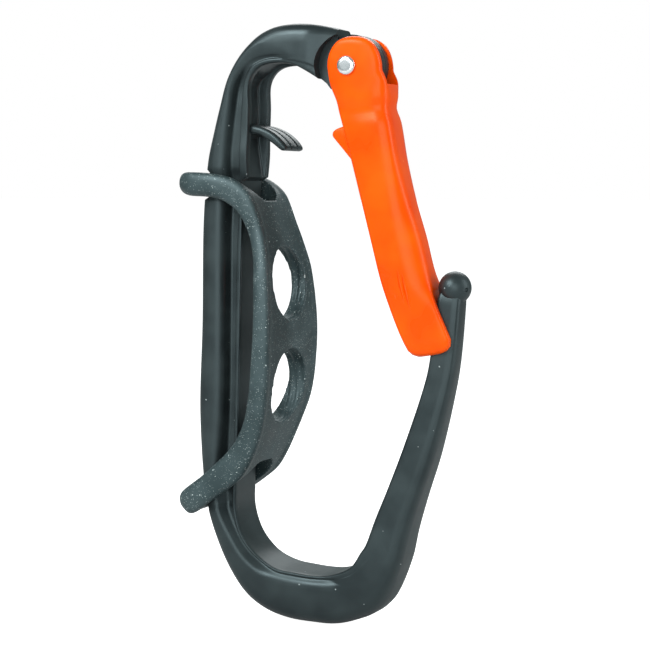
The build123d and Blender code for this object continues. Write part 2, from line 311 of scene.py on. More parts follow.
def moulded_material(name, dark, light, rough, bump, grain, wave, speck_colour, specks, sheen):
    """A moulded plastic or rubber: tone and gloss that wander, a fine grain, and specks of dust.

    Each layer of specks has a scale, a share of cells, a size and a strength. The sheen is a level
    and a tint, the bump a strength and a distance.
    """
    material = bpy.data.materials.new(name)
    material.use_nodes = True
    tree = material.node_tree
    shader = tree.nodes["Principled BSDF"]
    shader.inputs["Specular IOR Level"].default_value = sheen[0]
    shader.inputs["Specular Tint"].default_value = (*sheen[1], 1.0)
    surface = placed_group(tree, GRAIN, Grain_Scale=grain, Wave_Scale=wave)
    colour = ramp(tree, surface.outputs["Tone"], [(0.35, dark), (0.65, light)])
    for scale, share, size, strength in specks:
        dust = placed_group(tree, DUST, Scale=scale, Share=share, Size=size)
        faint = tree.nodes.new("ShaderNodeMath")
        faint.operation = "MULTIPLY"
        faint.inputs[1].default_value = strength
        dusted = tree.nodes.new("ShaderNodeMix")
        dusted.data_type = "RGBA"
        dusted.inputs["B"].default_value = (*speck_colour, 1.0)
        tree.links.new(dust.outputs["Mask"], faint.inputs[0])
        tree.links.new(faint.outputs[0], dusted.inputs["Factor"])
        tree.links.new(colour, dusted.inputs["A"])
        colour = dusted.outputs["Result"]
    tree.links.new(colour, shader.inputs["Base Color"])
    gloss = tree.nodes.new("ShaderNodeMapRange")
    gloss.inputs["From Min"].default_value = 0.3
    gloss.inputs["From Max"].default_value = 0.7
    gloss.inputs["To Min"].default_value = rough[0]
    gloss.inputs["To Max"].default_value = rough[1]
    tree.links.new(surface.outputs["Tone"], gloss.inputs["Value"])
    tree.links.new(gloss.outputs["Result"], shader.inputs["Roughness"])
    relief = tree.nodes.new("ShaderNodeBump")
    relief.inputs["Strength"].default_value = bump[0]
    relief.inputs["Distance"].default_value = bump[1]
    tree.links.new(surface.outputs["Height"], relief.inputs["Height"])
    tree.links.new(relief.outputs["Normal"], shader.inputs["Normal"])
    return material


def steel_material(name, colour, rough, scratch):
    """Steel with fine tumbling scratches that change its gloss."""
    material = bpy.data.materials.new(name)
    material.use_nodes = True
    tree = material.node_tree
    shader = tree.nodes["Principled BSDF"]
    shader.inputs["Base Color"].default_value = (*colour, 1.0)
    shader.inputs["Metallic"].default_value = 1.0
    surface = placed_group(tree, GRAIN, Grain_Scale=scratch, Wave_Scale=scratch / 4)
    gloss = tree.nodes.new("ShaderNodeMapRange")
    gloss.inputs["To Min"].default_value = rough[0]
    gloss.inputs["To Max"].default_value = rough[1]
    tree.links.new(surface.outputs["Tone"], gloss.inputs["Value"])
    tree.links.new(gloss.outputs["Result"], shader.inputs["Roughness"])
    relief = tree.nodes.new("ShaderNodeBump")
    relief.inputs["Strength"].default_value = 0.15
    relief.inputs["Distance"].default_value = 0.00005
    tree.links.new(surface.outputs["Height"], relief.inputs["Height"])
    tree.links.new(relief.outputs["Normal"], shader.inputs["Normal"])
    return material


COOL_SHEEN = (0.72, 0.95, 1.0)
BLACK_NYLON = moulded_material(
    "black_nylon", dark=(0.010, 0.013, 0.014), light=(0.020, 0.026, 0.027), rough=(0.34, 0.46),
    bump=(0.12, 0.00008), grain=2600.0, wave=120.0, speck_colour=(0.35, 0.40, 0.40),
    specks=[(900.0, 0.05, 0.16, 0.8)], sheen=(0.5, COOL_SHEEN),
)
ORANGE_NYLON = moulded_material(
    "orange_nylon", dark=(0.93, 0.068, 0.0), light=(0.98, 0.098, 0.0), rough=(0.26, 0.36),
    bump=(0.10, 0.00006), grain=1500.0, wave=110.0, speck_colour=(1.0, 0.30, 0.10),
    specks=[(500.0, 0.02, 0.1, 1.0)], sheen=(0.3, (1.0, 0.60, 0.40)),
)
KEEPER_RUBBER = moulded_material(
    "keeper_rubber", dark=(0.016, 0.027, 0.029), light=(0.036, 0.054, 0.057), rough=(0.42, 0.56),
    bump=(0.40, 0.00012), grain=3000.0, wave=160.0, speck_colour=(0.55, 0.64, 0.63),
    specks=[(3600.0, 0.40, 0.42, 0.35), (1500.0, 0.12, 0.26, 0.9)], sheen=(0.6, COOL_SHEEN),
)
RIVET_STEEL = steel_material("rivet_steel", (0.86, 0.88, 0.90), (0.16, 0.32), 900.0)
SPRING_STEEL = steel_material("spring_steel", (0.58, 0.59, 0.60), (0.25, 0.4), 2000.0)


# ---------------------------------------------------------------- body
# Profiles: crest depth, outer depth, channel depth, flange depth, share of the channel taken by its
# sloping wall, inner channel depth, and the reaches of the outer, crest and inner corners.
LUG_END = (4.3, 4.2, 0.0, 4.2, 0.5, 0.0, 1.6, 1.4, 1.2)
LUG_NECK = (5.4, 5.3, 0.0, 5.2, 0.5, 0.0, 2.2, 1.8, 1.4)
TOP_BAR = (6.6, 6.4, 0.0, 6.3, 0.5, 0.0, 2.6, 2.2, 1.4)
TOP_BEND = (6.8, 6.6, 0.9, 6.2, 0.6, 0.9, 2.6, 2.2, 0.9)
UPPER_SPINE = (6.8, 6.6, 2.4, 6.1, 0.35, 2.3, 2.4, 2.0, 0.5)
STEP_SPINE = (6.8, 6.6, 2.4, 6.3, 0.35, 1.6, 2.4, 2.0, 0.5)
BELT_SPINE = (6.8, 6.6, 3.4, 4.9, 0.35, 0.0, 2.4, 2.0, 0.5)
LOWER_SPINE = (6.8, 6.6, 2.2, 5.4, 0.6, 0.0, 2.2, 0.8, 0.6)
LOWER_BEND = (6.8, 6.2, 1.7, 5.6, 0.85, 0.0, 2.6, 0.8, 0.9)
BOTTOM_BAR = (6.8, 6.0, 0.9, 6.2, 0.85, 0.0, 3.0, 1.2, 0.9)
BOTTOM_END = (6.6, 5.4, 0.1, 6.4, 0.5, 0.0, 3.2, 2.2, 1.5)

# Rows round the hook: the outer edge, the crest, the flange and the inner edge, then the profile.
HOOK_ROWS = [
    ((23.6, 65.7), (23.2, 59.5), (22.8, 56.0), (22.4, 52.5), LUG_END),
    ((20.6, 66.5), (20.2, 60.1), (20.0, 57.2), (19.8, 54.6), LUG_NECK),
    ((17.6, 67.0), (17.2, 60.6), (17.1, 58.4), (17.0, 56.5), TOP_BAR),
    ((13.6, 67.2), (13.2, 60.6), (13.4, 59.1), (13.7, 58.1), TOP_BAR),
    ((8.8, 66.6), (9.2, 60.8), (9.6, 59.6), (9.9, 58.5), TOP_BEND),
    ((4.5, 64.6), (5.4, 60.4), (6.0, 59.1), (6.6, 58.1), TOP_BEND),
    ((0.5, 60.7), (2.1, 58.6), (3.3, 57.5), (4.3, 56.6), TOP_BEND),
    ((-2.6, 55.5), (-0.8, 54.3), (1.6, 54.1), (2.9, 53.8), UPPER_SPINE),
    ((-4.7, 49.0), (-2.0, 48.6), (0.9, 48.8), (2.9, 48.8), UPPER_SPINE),
    ((-6.4, 43.0), (-3.0, 42.6), (0.5, 42.6), (2.7, 42.8), UPPER_SPINE),
    ((-7.8, 37.5), (-3.6, 37.5), (0.3, 37.5), (2.5, 37.5), STEP_SPINE),
    ((-8.8, 29.0), (-3.7, 29.0), (0.0, 29.0), (2.3, 29.0), BELT_SPINE),
    ((-9.3, 20.0), (-3.9, 20.0), (-0.7, 20.0), (2.0, 20.0), BELT_SPINE),
    ((-9.6, 0.0), (-4.0, 0.0), (-1.3, 0.0), (1.4, 0.0), BELT_SPINE),
    ((-10.3, -18.0), (-4.3, -18.0), (-1.5, -18.0), (0.6, -18.0), BELT_SPINE),
    ((-9.9, -30.0), (-5.1, -29.8), (-1.8, -29.8), (-0.1, -29.5), BELT_SPINE),
    ((-9.1, -37.0), (-5.9, -37.0), (-1.9, -36.6), (-0.8, -36.4), LOWER_SPINE),
    ((-7.8, -43.8), (-4.9, -43.2), (-1.9, -42.4), (-1.0, -42.2), LOWER_SPINE),
    ((-5.6, -51.0), (-2.1, -48.8), (-0.3, -47.9), (0.4, -47.5), LOWER_BEND),
    ((-2.6, -57.0), (0.9, -52.9), (2.2, -51.5), (2.8, -51.0), LOWER_BEND),
    ((1.5, -62.1), (4.7, -55.8), (5.6, -54.2), (6.0, -53.6), LOWER_BEND),
    ((6.2, -65.3), (8.6, -57.2), (9.4, -55.9), (9.8, -55.2), BOTTOM_BAR),
    ((11.8, -66.8), (13.2, -57.9), (13.7, -56.5), (13.9, -55.7), BOTTOM_BAR),
    ((17.6, -67.2), (18.0, -58.2), (18.2, -56.8), (18.2, -56.0), BOTTOM_BAR),
    ((23.4, -67.1), (22.6, -58.2), (22.3, -56.6), (22.0, -55.8), BOTTOM_BAR),
    ((28.4, -65.8), (27.0, -58.4), (26.2, -56.0), (25.8, -54.6), BOTTOM_END),
    ((32.4, -63.9), (30.4, -58.4), (29.0, -54.6), (28.2, -53.0), BOTTOM_END),
    ((35.6, -60.6), (33.2, -56.4), (31.2, -52.4), (30.0, -50.2), BOTTOM_END),
]
# Nose arm: centre, width across, half depth and lean from upright.
ARM_ROWS = [
    ((35.2, -50.2), 8.9, 6.2, 32), ((37.1, -43.8), 8.0, 5.7, 23), ((39.7, -36.4), 7.3, 5.2, 20),
    ((43.3, -26.2), 6.9, 4.6, 19), ((47.3, -12.0), 5.9, 3.6, 11), ((48.5, -5.0), 5.7, 3.3, 8),
    ((49.6, 5.6), 5.3, 3.1, 6), ((49.8, 7.4), 5.0, 2.8, 4), ((50.1, 9.4), 3.8, 2.2, 0),
]
# Across the arm: where the outer edge, the crest, the flange and the inner edge stand.
ARM_SHARES = (1.0, 0.45, -0.35, -1.0)
ARM_EDGE_SHARE = 0.8
ARM_WALL = 0.5
ARM_REACHES = (2.2, 2.2, 1.6)
# The belt seat is flat; the flange stays behind it.
SEAT_LEAN = math.radians(1.5)
SEAT_SPAN = (-38.0, 33.2)
SEAT_REACH = 6.0
SEAT_SETBACK = 1.1
# Notches for the strap's ends, in the spine's outer side: lower end, upper end and floor.
NOTCHES = [(28.4, 34.8, -7.5), (-42.6, -36.4, -8.4)]
NOTCH_CREST_STEP = 0.8
NOTCH_CREST_LOSS = 0.3
NOTCH_OUTER_LOSS = 0.2
FULL_HALF = 6.8
INNER_CHANNEL_HALF = 4.4
INNER_CHANNEL_LIP = 0.25
FLANGE_BEND = 0.12
FLOOR_SLOPE = 0.01
CHANNEL_REACHES = (0.5, 0.25, 0.3)
INNER_CHANNEL_REACHES = (0.3, 0.5)
PIVOT = point(26.4, 57.6)
CHEEK_RADIUS = 7.5
CHEEK_REACH = 12.0
LUG_RADIUS = 6.88
LUG_HALF = 3.0
LUG_EDGE = 0.4
LUG_LINES = (-1.1, 0.9)
LUG_LINE_HALF = 0.18
LUG_LINE_DEPTH = 0.2
FLAT_DISTANCE = 3.9
FLAT_HALF = 7.0
# Rows along the tongue: its top, its underside and its half width.
TONGUE_ROWS = [
    (-0.8, 45.6, -0.8, 40.6, 3.6), (0.3, 45.3, 0.3, 41.9, 3.8), (1.6, 45.2, 1.4, 42.8, 4.2),
    (3.2, 45.0, 2.8, 43.0, 4.8), (5.4, 44.5, 4.7, 42.8, 5.0), (7.6, 43.6, 6.5, 41.8, 5.0),
    (9.3, 42.5, 8.2, 40.7, 5.0), (10.6, 41.3, 9.4, 39.8, 5.0), (11.4, 40.3, 10.2, 39.2, 4.9),
    (11.6, 39.9, 10.8, 39.1, 4.7), (11.5, 39.5, 11.3, 39.3, 4.4),
]
TONGUE_STEP = 0.4
# Each groove: the edges and the floor, from the middle plane outwards.
TONGUE_GROOVE = (1.4, 1.6, 2.0, 2.2)
TONGUE_GROOVE_DEPTH = 0.4
TONGUE_GROOVE_SHARE = 0.3
TONGUE_REACHES = (0.15, 0.15, 0.15, 0.3, 0.9, 0.8)
KNOB_CENTRE = point(50.1, 9.0)
KNOB_RADIUS = 3.63
DIMPLE_RADIUS = 0.5
DIMPLE_WAY = point(1.0, -0.08, -0.5).normalized()
SPRING_LEAN = math.radians(12)
DOWN = Vector((math.sin(SPRING_LEAN), 0, -math.cos(SPRING_LEAN)))
ACROSS = Vector((math.cos(SPRING_LEAN), 0, math.sin(SPRING_LEAN)))


def arm_row(centre, width, half, lean):
    """A row across the nose arm in the same columns as the hook's rows."""
    side = Vector((math.cos(math.radians(lean)), -math.sin(math.radians(lean)))) * width / 2
    middle = Vector(centre)
    places = [middle + side * share for share in ARM_SHARES]
    profile = (half, half * ARM_EDGE_SHARE, 0.0, half, ARM_WALL, 0.0, *ARM_REACHES)
    return [c for place in places for c in place] + list(profile)


def hook_section(row):
    """One closed section of the hook from a row."""
    outer, crest, flange, inner = [point(row[i], row[i + 1]) for i in (0, 2, 4, 6)]
    depth, outer_depth, channel, flange_depth, wall, groove, outer_reach, crest_reach, inner_reach = row[8:]
    if SEAT_SPAN[0] < inner.z < SEAT_SPAN[1] and inner.x < SEAT_REACH:
        inner.x = min(inner.x, inner.z * math.tan(SEAT_LEAN))
        flange.x = min(flange.x, inner.x - SEAT_SETBACK)
        groove = 0.0
    for low, high, floor in NOTCHES:
        if low < outer.z < high and outer.x < 0:
            outer.x = max(outer.x, floor)
            crest.x = max(crest.x, floor + NOTCH_CREST_STEP)
            depth -= NOTCH_CREST_LOSS
            outer_depth -= NOTCH_OUTER_LOSS
    groove_way = (flange - inner).normalized() * max(groove, 0.0)
    foot = crest.lerp(flange, wall)
    near_flange = flange.lerp(inner, FLANGE_BEND)
    floor_depth = depth - max(channel, 0.0)
    groove_half = INNER_CHANNEL_HALF * flange_depth / FULL_HALF
    corners = [
        outer, outer + point(0, 0, -outer_depth), crest + point(0, 0, -depth),
        foot + point(0, 0, -floor_depth), flange + point(0, 0, -floor_depth + FLOOR_SLOPE),
        near_flange + point(0, 0, -flange_depth), inner + point(0, 0, -flange_depth),
        inner + point(0, 0, -groove_half - INNER_CHANNEL_LIP),
        inner + groove_way + point(0, 0, -groove_half),
        inner + groove_way,
    ]
    reaches = (outer_reach, crest_reach, *CHANNEL_REACHES, inner_reach, *INNER_CHANNEL_REACHES)
    return full_loop(soft_corners(corners, reaches))


def lug_shape():
    """The hinge lug: a round plate with two fine parting lines on its rim."""
    rim = [(-LUG_HALF, 0.0), (-LUG_HALF, LUG_RADIUS - LUG_EDGE), (-LUG_HALF + LUG_EDGE, LUG_RADIUS)]
    for line in LUG_LINES:
        rim += [
            (line - LUG_LINE_HALF, LUG_RADIUS), (line, LUG_RADIUS - LUG_LINE_DEPTH),
            (line + LUG_LINE_HALF, LUG_RADIUS),
        ]
    rim += [(LUG_HALF - LUG_EDGE, LUG_RADIUS), (LUG_HALF, LUG_RADIUS - LUG_EDGE), (LUG_HALF, 0.0)]
    return turned_shell("lug", rim, PIVOT, Y_WAY, X_WAY, steps=96)


def flat_tool():
    """The block that cuts the flat, on which the plunger bears, under the lug."""
    corners = [(-FLAT_HALF, 0.0), (FLAT_HALF, 0.0), (FLAT_HALF, FLAT_HALF), (-FLAT_HALF, FLAT_HALF)]
    places = [PIVOT + ACROSS * across + DOWN * (FLAT_DISTANCE + down) for across, down in corners]
    return plate("flat_tool", [(place.x, place.z) for place in places], FLAT_HALF)


def tongue_shape():
    """The flexible tongue: three ribs and two grooves along it, and a rounded tip."""
    loops = []
    for x, z, under_x, under_z, half in smooth_rows(TONGUE_ROWS, TONGUE_STEP):
        top, under = point(x, z), point(under_x, under_z)
        down = (under - top).normalized()
        groove = min(TONGUE_GROOVE_DEPTH, (under - top).length * TONGUE_GROOVE_SHARE)
        floor = top + down * groove
        near_edge, near_floor, far_floor, far_edge = [point(0, 0, -y) for y in TONGUE_GROOVE]
        near = [
            top, top + near_edge, floor + near_floor, floor + far_floor, top + far_edge,
            top + point(0, 0, -half), under + point(0, 0, -half), under,
        ]
        loops.append(full_loop(soft_corners(near, TONGUE_REACHES)))
    return swept_shell("tongue", loops)


def build_body():
    rows = [[c for place in row[:4] for c in place] + list(row[4]) for row in HOOK_ROWS]
    rows += [arm_row(*row) for row in ARM_ROWS]
    body = swept_shell("body_shell", [hook_section(row) for row in smooth_rows(rows, ROW_STEP)])
    for side in (-1, 1):
        profile = [
            (LUG_HALF, 0.0), (LUG_HALF, CHEEK_RADIUS), (CHEEK_REACH, CHEEK_RADIUS), (CHEEK_REACH, 0.0),
        ]
        cheek = turned_shell("cheek", profile, PIVOT, Vector((0, side, 0)), X_WAY)
        combined(body, cheek, "DIFFERENCE")
    combined(body, lug_shape(), "UNION")
    combined(body, flat_tool(), "DIFFERENCE")
    combined(body, tongue_shape(), "UNION")
    bm = bmesh.new()
    bmesh.ops.create_uvsphere(
        bm, u_segments=48, v_segments=32, radius=KNOB_RADIUS, matrix=Matrix.Translation(KNOB_CENTRE)
    )
    combined(body, shape_from("knob", bm), "UNION")
    bm = bmesh.new()
    bmesh.ops.create_uvsphere(
        bm, u_segments=24, v_segments=16, radius=DIMPLE_RADIUS,
        matrix=Matrix.Translation(KNOB_CENTRE + DIMPLE_WAY * KNOB_RADIUS),
    )
    combined(body, shape_from("dimple", bm), "DIFFERENCE")
    finish_piece(body, "hook", "body", BLACK_NYLON)


# ---------------------------------------------------------------- gate
# Rows down the gate: inner edge, soft ridge, front crest and outer edge, then the half depth, the
# depths of the inner and outer edges and the reaches of the ridge and the outer corner.
EAR = (5.2, 5.0, 4.6, 1.2, 1.4)
GRIP = (5.2, 4.4, 3.9, 1.8, 2.2)
SCOOP = (4.7, 4.3, 3.4, 2.0, 2.0)
WAIST = (5.2, 4.2, 3.4, 1.8, 1.9)
FORK = (5.2, 4.4, 5.0, 1.6, 0.8)
GATE_ROWS = [
    ((21.4, 57.6), (26.0, 57.4), (31.0, 57.0), (34.1, 56.6), EAR),
    ((22.1, 53.6), (27.4, 54.0), (32.0, 54.0), (35.2, 54.0), EAR),
    ((23.4, 49.9), (28.7, 50.3), (33.2, 50.7), (35.6, 50.9), GRIP),
    ((24.0, 47.4), (29.6, 47.8), (33.2, 48.2), (35.4, 48.4), SCOOP),
    ((24.9, 44.4), (30.4, 44.8), (34.4, 45.2), (36.3, 45.4), GRIP),
    ((27.3, 35.6), (32.5, 36.0), (35.8, 36.4), (37.9, 36.8), GRIP),
    ((29.6, 26.6), (34.7, 27.0), (37.6, 27.4), (40.3, 27.8), WAIST),
    ((31.6, 19.0), (36.5, 19.4), (39.0, 19.8), (42.7, 20.2), WAIST),
    ((33.9, 10.4), (38.6, 10.9), (41.4, 11.4), (45.0, 11.8), WAIST),
    ((36.3, 4.0), (40.4, 4.6), (44.0, 5.0), (47.2, 5.4), FORK),
    ((38.4, -1.0), (41.9, -0.6), (46.6, 0.2), (49.2, 0.8), FORK),
]
EAR_TIP = point(28.3, 64.0)
EAR_STEPS = 12
EAR_BASE_SHARE = 0.45
EAR_SPREAD_POWER = 0.8
INNER_CORNER = 1.0
CREST_CORNER = 1.2
# Rows that round off the foot, and how much thinner than the fork each one is.
FOOT_ROWS = [
    ((39.6, -3.4), (42.6, -3.0), (47.6, -2.4), (50.5, -2.0), 0.0),
    ((40.4, -4.9), (43.0, -4.5), (47.8, -3.9), (50.4, -3.5), 0.25),
    ((41.3, -5.8), (43.6, -5.5), (47.6, -4.9), (49.6, -4.5), 0.8),
    ((42.4, -6.2), (44.2, -6.0), (47.2, -5.4), (48.6, -5.1), 1.5),
]
TOOTH = [(27.0, 45.2), (22.9, 43.9), (21.9, 43.2), (21.9, 42.2), (27.6, 35.7), (31.5, 36.5), (30.0, 45.2)]
TOOTH_HALF = 2.8
TOOTH_EDGE = 0.5
EAR_EDGE = 1.5
# The slot between the ears, its open mouth and the fork's slot.
LUG_SLOT_RADIUS = 7.2
LUG_SLOT_GAP = 0.15
LUG_MOUTH = [
    (23.4, 49.4), (26.4, 53.3), (33.0, 53.0), (45.0, 55.6), (45.0, 75.0), (10.0, 75.0), (10.0, 49.4),
]
LUG_MOUTH_INSET = 0.002
FORK_SLOT = [(44.9, -9.0), (45.1, -3.0), (46.1, 4.0), (46.0, 9.5), (56.0, 9.5), (56.0, -9.0)]
FORK_SLOT_HALF = 3.5
RIVET_HOLE_RADIUS = 1.55
RIVET_HOLE_REACH = 8.0
BORE_OFFSET = 1.6
BORE_RADIUS = 1.78
BORE_END = 22.0
# Flutes in the front face: where each one starts and ends, and its radius by share of its length.
GATE_FACE = 5.25
FLUTE_DEPTH = 0.55
FLUTES = [((38.3, 13.6), (40.6, 4.6)), ((39.5, 12.6), (41.9, 3.4)), ((37.4, 9.4), (38.9, 4.4))]
FLUTE_PROFILE = [(0.0, 0.0), (0.12, 0.2), (0.45, FLUTE_DEPTH), (0.8, 0.22), (1.0, 0.0)]


def gate_section(row):
    """One closed section of the gate from a row."""
    inner, ridge, crest, outer = [point(row[i], row[i + 1]) for i in (0, 2, 4, 6)]
    depth, inner_depth, outer_depth, ridge_reach, outer_reach = row[8:]
    corners = [
        inner, inner + point(0, 0, -inner_depth), ridge + point(0, 0, -depth), crest + point(0, 0, -depth),
        outer + point(0, 0, -outer_depth), outer,
    ]
    return full_loop(soft_corners(corners, (INNER_CORNER, ridge_reach, CREST_CORNER, outer_reach)))


def ear_rows(first):
    """Rows that close the ears' round top, from the tip down to the first full row."""
    rows = []
    places = [Vector(place) for place in first[:4]]
    base = places[1].lerp(places[2], EAR_BASE_SHARE)
    rise = Vector((EAR_TIP.x, EAR_TIP.z)) - base
    for k in range(1, EAR_STEPS):
        angle = math.radians(90 * k / EAR_STEPS)
        spread = math.sin(angle) ** EAR_SPREAD_POWER
        up = rise * math.cos(angle)
        to_tip = rise.length * (1 - math.cos(angle))
        loss = max(0.0, EAR_EDGE - to_tip)
        shrink = EAR_EDGE - math.sqrt(EAR_EDGE ** 2 - loss ** 2)
        spots = [base + up + (place - base) * spread for place in places]
        profile = [d - shrink for d in EAR[:3]] + [EAR[3] * spread, EAR[4] * spread]
        rows.append([c for spot in spots for c in spot] + profile)
    return rows


def flute(start, finish):
    """A slim tapering tool that presses a shallow flute into the gate's front face."""
    low, high = point(*start, -GATE_FACE), point(*finish, -GATE_FACE)
    way = high - low
    profile = [(along * way.length, radius) for along, radius in FLUTE_PROFILE]
    return turned_shell("flute", profile, low, way.normalized(), Y_WAY, steps=24)


def build_gate():
    full = [[c for place in row[:4] for c in place] + list(row[4]) for row in GATE_ROWS]
    foot = [
        [c for place in row[:4] for c in place] + [d - row[4] for d in FORK[:3]] + list(FORK[3:])
        for row in FOOT_ROWS
    ]
    body_rows = smooth_rows(full + foot[:1], ROW_STEP) + foot[1:]
    gate = swept_shell("gate_shell", [gate_section(row) for row in ear_rows(GATE_ROWS[0]) + body_rows])
    combined(gate, plate("tooth", TOOTH, TOOTH_HALF, TOOTH_EDGE), "UNION")

    slot_half = LUG_HALF + LUG_SLOT_GAP
    around = [math.radians(a) for a in range(0, 360, 5)]
    ring = [
        (PIVOT.x + LUG_SLOT_RADIUS * math.cos(a), PIVOT.z + LUG_SLOT_RADIUS * math.sin(a)) for a in around
    ]
    combined(gate, plate("lug_slot", ring, slot_half), "DIFFERENCE")
    combined(gate, plate("lug_mouth", LUG_MOUTH, slot_half - LUG_MOUTH_INSET), "DIFFERENCE")
    combined(gate, plate("fork_slot", FORK_SLOT, FORK_SLOT_HALF), "DIFFERENCE")
    hole_start = PIVOT - Y_WAY * RIVET_HOLE_REACH
    hole = rod("rivet_hole", hole_start, Y_WAY, RIVET_HOLE_RADIUS, 2 * RIVET_HOLE_REACH, X_WAY)
    combined(gate, hole, "DIFFERENCE")
    bore = rod("spring_bore", PIVOT - ACROSS * BORE_OFFSET, DOWN, BORE_RADIUS, BORE_END, ACROSS)
    combined(gate, bore, "DIFFERENCE")
    for start, finish in FLUTES:
        combined(gate, flute(start, finish), "DIFFERENCE")
    finish_piece(gate, "gate", "gate", ORANGE_NYLON)


# ---------------------------------------------------------------- hinge parts
# The rivet's far half: places along its axis and the radius at each, from the shank to the head.
RIVET_HEAD = [
    (5.25, 1.5), (5.25, 2.05), (5.35, 2.15), (5.62, 2.13), (5.9, 1.85), (6.02, 1.45), (6.05, 1.0),
    (6.0, 0.0),
]


def build_rivet():
    """The rivet: a shank with a turned-over head on each side, slightly dished."""
    profile = [(-along, radius) for along, radius in reversed(RIVET_HEAD)] + RIVET_HEAD
    rivet = turned_shell("pivot_rivet_turned", profile, PIVOT, Y_WAY, X_WAY)
    finish_piece(rivet, "hook", "pivot_rivet", RIVET_STEEL, crease=50)


def build_spring():
    """The gate spring: a round-wire coil at one length, though the real one shortens as the gate opens."""
    wire = 0.24
    radius = 1.35
    turns = 9
    start = 8.6
    end = 21.6
    steps = turns * 24
    round_wire = [math.tau * k / 8 for k in range(8)]
    origin = PIVOT - ACROSS * BORE_OFFSET
    loops = []
    for i in range(steps + 1):
        turn = math.tau * turns * i / steps
        out = ACROSS * math.cos(turn) + Y_WAY * math.sin(turn)
        centre = origin + DOWN * (start + (end - start) * i / steps) + out * radius
        loops.append([centre + (out * math.cos(a) + DOWN * math.sin(a)) * wire for a in round_wire])
    spring = swept_shell("gate_spring_wire", loops)
    finish_piece(spring, "gate", "gate_spring", SPRING_STEEL, crease=0)
    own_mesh(spring)


# ---------------------------------------------------------------- rubber keeper
# Rows along the strap: its outer face, its inner face and its half width.
KEEPER_ROWS = [
    ((-14.6, 32.2), (-14.6, 31.4), 4.5), ((-14.3, 33.1), (-14.3, 30.5), 6.8),
    ((-13.5, 33.8), (-13.5, 29.8), 8.2),
    ((-12.2, 34.3), (-12.2, 29.3), 9.3), ((-10.4, 34.4), (-10.6, 29.0), 10.1),
    ((-6.0, 34.2), (-6.4, 28.8), 10.6), ((-2.8, 33.8), (-3.2, 28.2), 10.5),
    ((0.2, 33.0), (-0.6, 27.0), 10.4), ((3.2, 31.2), (1.6, 25.2), 10.4),
    ((5.2, 29.0), (3.2, 22.8), 10.4), ((7.6, 23.2), (4.7, 19.0), 10.4),
    ((9.2, 18.0), (5.8, 14.8), 11.4), ((10.4, 12.0), (6.5, 10.0), 12.9),
    ((11.3, 0.0), (6.9, 0.0), 14.0), ((10.9, -10.0), (6.3, -9.0), 14.0),
    ((10.0, -17.0), (5.4, -15.6), 13.4), ((8.5, -22.4), (3.6, -21.4), 12.0),
    ((7.0, -26.4), (1.4, -25.6), 11.3), ((5.3, -30.2), (-1.2, -28.8), 11.0),
    ((2.8, -34.2), (-4.0, -31.4), 11.0), ((-1.0, -37.4), (-7.2, -34.2), 11.0),
    ((-5.2, -40.3), (-10.2, -36.4), 10.9), ((-8.6, -42.7), (-12.4, -37.9), 10.3),
    ((-10.8, -43.7), (-13.8, -39.1), 9.5), ((-12.2, -43.6), (-14.5, -40.3), 8.4),
    ((-13.2, -43.0), (-14.7, -41.3), 7.0), ((-13.8, -42.4), (-14.5, -41.9), 4.5),
]
# The rims along the edges: height, and the depth and greatest share of the foot and the top.
RIM_HEIGHT = 0.35
RIM_FOOT = 2.7
RIM_FOOT_SHARE = 0.5
RIM_TOP = 2.2
RIM_TOP_SHARE = 0.4
KEEPER_REACHES = (0.6, 0.5, 2.3, 2.1)
# The slots for the spine: two opposite corners of each, and the radii at its back and its front.
KEEPER_SLOTS = [
    ("upper_slot", (-7.7, -7.2, 22.0), (5.2, 7.2, 40.0)),
    ("lower_slot", (-8.9, -7.2, -48.0), (4.0, 7.2, -24.0)),
]
SLOT_BACK_RADIUS = 1.6
SLOT_FRONT_RADIUS = 5.0
UPRIGHT_RISE = 1.0
BLOCK_END_SHARE = 0.45
# The round holes: the front and the height of each centre, and the profile from the front inwards.
KEEPER_HOLES = [(10.6, 9.4), (10.0, -14.0)]
HOLE_RADIUS = 8.2
HOLE_FRONT = -6.0
HOLE_BACK = 9.0
HOLE_FLARE = 0.3
HOLE_FREE = 0.2
HOLE_STRAIGHT = 4.6
LIPS = (1.5, 3.2)
LIP_HALF = 0.3
LIP_FOOT = 0.75
LIP_HEIGHT = 0.45
VOXEL = 0.3


def keeper_section(row):
    """One closed section of the strap: a rim along each edge and a face sunk between the rims."""
    outer, inner = point(row[0], row[1]), point(row[2], row[3])
    half = row[4]
    way = (inner - outer).normalized()
    sunk = outer + way * RIM_HEIGHT
    rim_foot = -half + min(RIM_FOOT, half * RIM_FOOT_SHARE)
    rim_top = -half + min(RIM_TOP, half * RIM_TOP_SHARE)
    corners = [
        sunk, sunk + point(0, 0, rim_foot), outer + point(0, 0, rim_top),
        outer + point(0, 0, -half), inner + point(0, 0, -half), inner,
    ]
    return full_loop(soft_corners(corners, KEEPER_REACHES))


def rounded_block(name, low, high, back_radius, front_radius):
    """A block with its upright edges rounded, less at its -X end than at its +X end."""
    bm = bmesh.new()
    bmesh.ops.create_cube(bm, size=1.0)
    size = [h - l for l, h in zip(low, high)]
    centre = [(l + h) / 2 for l, h in zip(low, high)]
    bmesh.ops.scale(bm, vec=size, verts=bm.verts)
    bmesh.ops.translate(bm, vec=centre, verts=bm.verts)
    for sign, radius in ((-1, back_radius), (1, front_radius)):
        upright = []
        for edge in bm.edges:
            first, second = [vert.co for vert in edge.verts]
            at_end = sign * (first.x - centre[0]) > size[0] * BLOCK_END_SHARE
            if abs(first.z - second.z) > UPRIGHT_RISE and at_end:
                upright.append(edge)
        bmesh.ops.bevel(
            bm, geom=upright, offset=radius, segments=8, affect="EDGES", profile=0.5, material=-1
        )
    return shape_from(name, bm)


